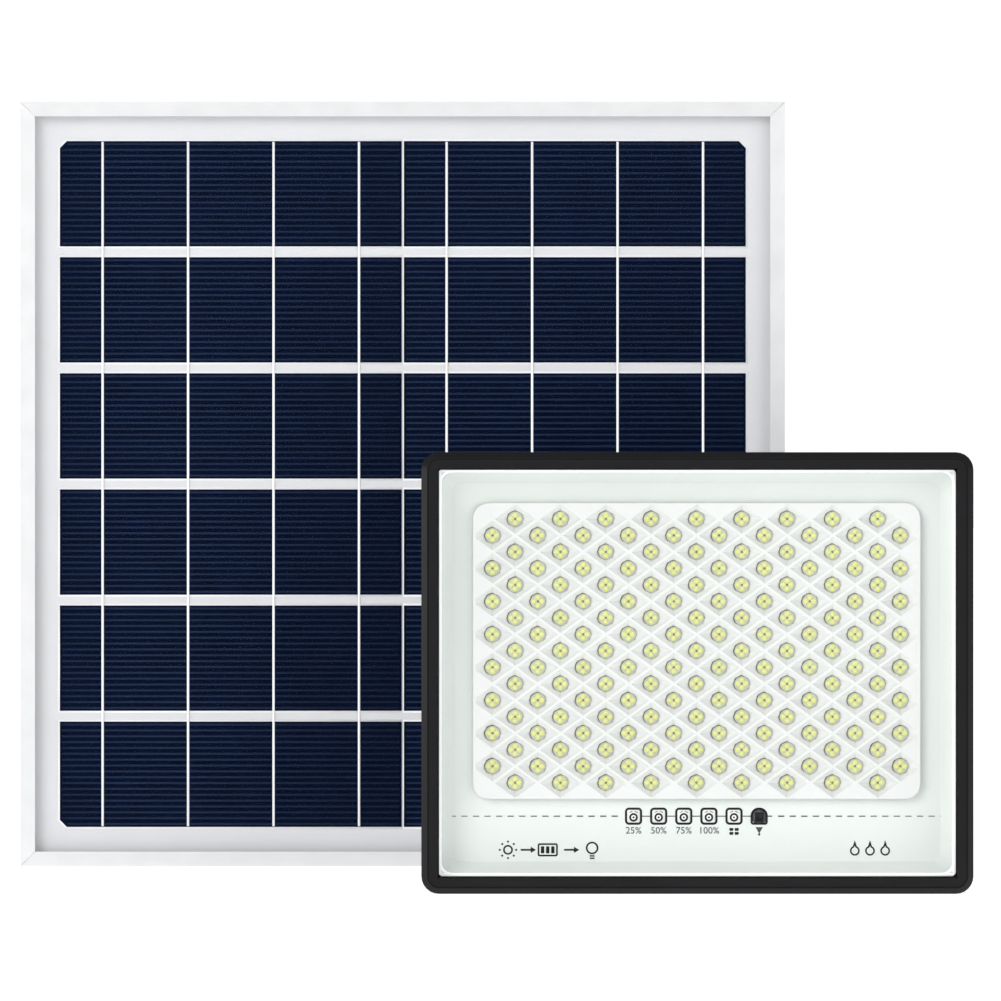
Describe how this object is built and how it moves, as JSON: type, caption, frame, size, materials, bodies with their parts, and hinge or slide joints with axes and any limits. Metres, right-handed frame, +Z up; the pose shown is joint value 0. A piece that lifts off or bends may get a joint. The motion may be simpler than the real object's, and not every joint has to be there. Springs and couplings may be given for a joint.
{
  "type": "solar flood light",
  "caption": "Square glass-fronted solar panel in an aluminium frame with a separate black LED flood lamp, each on a swinging U bracket.",
  "frame": {"origin": "middle of the floor footprint of the panel and lamp together", "axes": "+X to the right seen from the front, -Y out of the panel's and lamp's front faces, +Z up"},
  "size_m": [0.421, 0.2892, 0.35],
  "materials": {
    "anodised_frame": "satin clear anodised",
    "zinc_steel": "bright zinc plated",
    "panel_glass": "clear tempered",
    "silicon": "dark blue cells with silver lines",
    "white_sheet": "matt white",
    "black_plastic": "matt moulded",
    "black_paint": "satin black powder coat on die-cast aluminium or steel",
    "lamp_glass": "clear tempered",
    "rubber": "matt silicone",
    "reflector_white": "satin white",
    "white_plastic": "glossy white",
    "led_board": "white solder mask on an aluminium core",
    "bare_aluminium": "mill finish",
    "green_board": "green solder mask",
    "dark_lens": "glossy smoked",
    "cell_wrap": "blue shrink wrap",
    "red_lead": "satin insulation",
    "red_button": "satin red"
  },
  "bodies": {
    "solar_panel": {"panel_frame_top": "anodised_frame", "panel_frame_bottom": "anodised_frame", "panel_frame_left": "anodised_frame", "panel_frame_right": "anodised_frame", "corner_key_1": "zinc_steel", "corner_key_2": "zinc_steel", "corner_key_3": "zinc_steel", "corner_key_4": "zinc_steel", "panel_lug_left": "zinc_steel", "panel_lug_right": "zinc_steel", "lug_screw_1": "zinc_steel", "lug_screw_2": "zinc_steel", "lug_screw_3": "zinc_steel", "lug_screw_4": "zinc_steel", "panel_pivot_bolt_left": "zinc_steel", "panel_pivot_bolt_right": "zinc_steel", "panel_pivot_nut_left": "zinc_steel", "panel_pivot_nut_right": "zinc_steel", "panel_glass": "panel_glass", "cell_string_left": "silicon", "cell_string_right": "silicon", "backsheet": "white_sheet", "junction_box": "black_plastic", "junction_box_lid": "black_plastic", "junction_gland": "black_plastic"},
    "panel_stand": {"panel_bracket": "zinc_steel"},
    "lamp_stand": {"lamp_bracket": "black_paint"},
    "power_button": {"power_button": "red_button"},
    "lamp_head": {"cover_screw_1": "zinc_steel", "cover_screw_2": "zinc_steel", "cover_screw_3": "zinc_steel", "cover_screw_4": "zinc_steel", "housing_screw_1": "zinc_steel", "housing_screw_2": "zinc_steel", "housing_screw_3": "zinc_steel", "housing_screw_4": "zinc_steel", "lamp_pivot_bolt_left": "zinc_steel", "lamp_pivot_bolt_right": "zinc_steel", "lamp_pivot_nut_left": "zinc_steel", "lamp_pivot_nut_right": "zinc_steel", "battery_holder": "black_plastic", "cable_gland": "black_plastic", "button_collar": "black_plastic", "lamp_bezel": "black_paint", "rear_housing": "black_paint", "battery_cover": "black_paint", "lamp_glass": "lamp_glass", "glass_gasket": "rubber", "cover_gasket": "rubber", "reflector_tray": "reflector_white", "lens_plate": "white_plastic", "led_board": "led_board", "heat_spreader": "bare_aluminium", "indicator_board": "green_board", "control_board": "green_board", "ir_receiver": "dark_lens", "battery_cell_1": "cell_wrap", "battery_cell_2": "cell_wrap", "battery_cell_3": "cell_wrap", "battery_lead": "red_lead"}
  },
  "joints": [
    {"name": "panel_bracket_swing", "type": "hinge", "parent": "solar_panel", "child": "panel_stand", "pos_m": [-0.03555, 0.06235, 0.13], "axis": [1, 0, 0], "range_deg": [-30, 150]},
    {"name": "lamp_lift", "type": "slide", "parent": "solar_panel", "child": "lamp_head", "axis": [0, 0, 1], "range_m": [0, 0.36]},
    {"name": "lamp_bracket_swing", "type": "hinge", "parent": "lamp_head", "child": "lamp_stand", "pos_m": [0.09305, -0.08562, 0.1], "axis": [1, 0, 0], "range_deg": [-30, 150]},
    {"name": "power_button_press", "type": "slide", "parent": "lamp_head", "child": "power_button", "axis": [0, -1, 0], "range_m": [0, 0.0012], "stiffness_N_per_m": 400}
  ]
}
